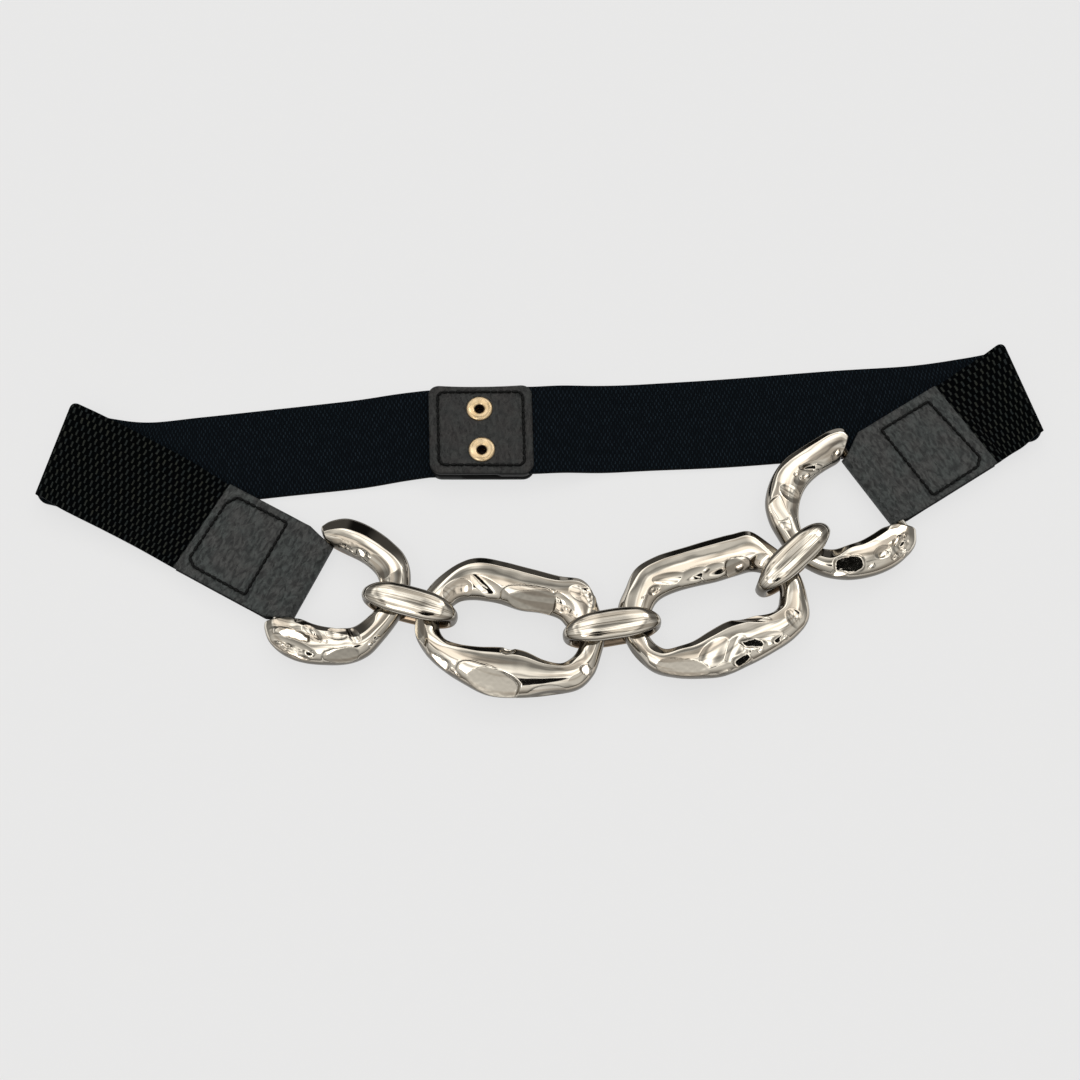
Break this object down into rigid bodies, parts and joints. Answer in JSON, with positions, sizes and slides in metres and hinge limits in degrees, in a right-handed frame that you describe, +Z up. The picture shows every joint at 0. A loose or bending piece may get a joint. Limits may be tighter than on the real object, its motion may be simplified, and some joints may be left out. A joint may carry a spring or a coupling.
{
  "type": "chain belt",
  "caption": "Waist belt of hammered metal chain links on a wide woven elastic back with leather tabs and a snap closure, lying fastened.",
  "frame": {"origin": "middle of the lying belt's footprint, on the surface that it lies on", "axes": "+X along the belt from its left fold to its right fold, +Y from the chain to the closure at the back, +Z up"},
  "size_m": [0.3968, 0.1468, 0.0176],
  "materials": {
    "link_metal": "cast, hammered and mirror polished, with pale champagne nickel plating",
    "elastic": "woven elastic webbing, black, coarse brick weave outside and fine cross ribs inside",
    "leather": "charcoal black pebbled leather with black cut edges and black stitching",
    "snap_metal": "pressed ring snaps with pale gold plating"
  },
  "bodies": {
    "root": {"end_link_left": "link_metal", "end_link_right": "link_metal", "big_link_left": "link_metal", "big_link_right": "link_metal", "connector_left": "link_metal", "connector_middle": "link_metal", "connector_right": "link_metal", "elastic_band_left": "elastic", "elastic_band_right": "elastic", "leather_tab_left": "leather", "leather_tab_right": "leather", "snap_tab_inner": "leather", "snap_tab_outer": "leather", "snap_socket_far": "snap_metal", "snap_socket_near": "snap_metal", "snap_stud_far": "snap_metal", "snap_stud_near": "snap_metal"}
  },
  "joints": []
}
